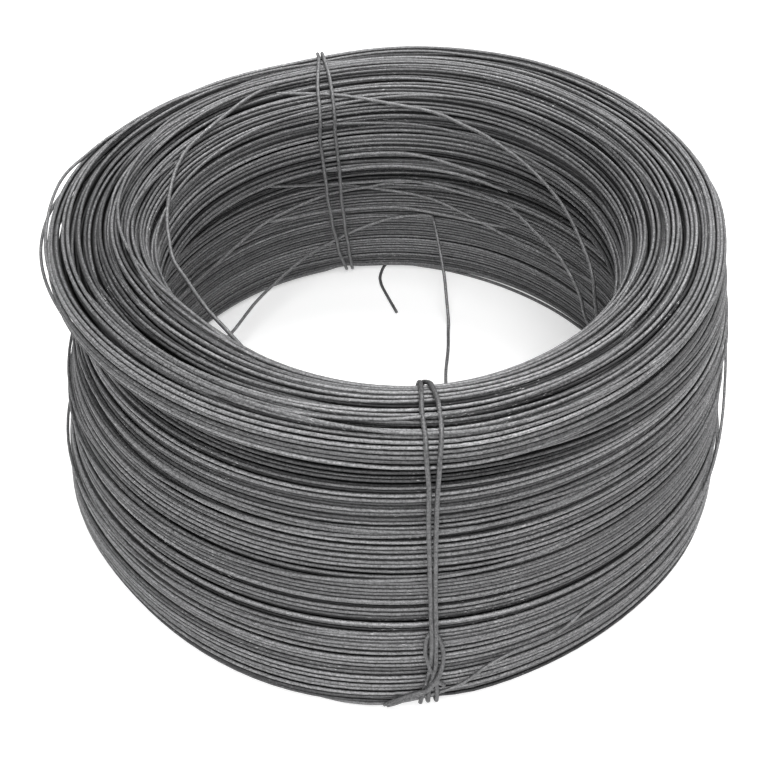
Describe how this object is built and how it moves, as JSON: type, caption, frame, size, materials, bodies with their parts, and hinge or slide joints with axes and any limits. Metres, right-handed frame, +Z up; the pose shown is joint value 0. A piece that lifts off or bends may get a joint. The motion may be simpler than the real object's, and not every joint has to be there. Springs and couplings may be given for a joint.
{
  "type": "coil of steel binding wire",
  "caption": "Standing coil of thin dark annealed steel wire with a wide tapered bore, a loose flared top rim and doubled wire ties round its wall.",
  "frame": {"origin": "on the coil's axis, in the plane of the base that it stands on", "axes": "+Z up along the coil's axis, -Y towards the viewer of the picture, where the front tie is"},
  "size_m": [0.2086, 0.2138, 0.0935],
  "materials": {
    "annealed_wire": "black annealed oxide, satin",
    "tie_wire": "black annealed oxide, satin"
  },
  "bodies": {
    "root": {"wire_coil": "annealed_wire", "front_tie": "tie_wire", "rear_tie": "tie_wire"}
  },
  "joints": []
}
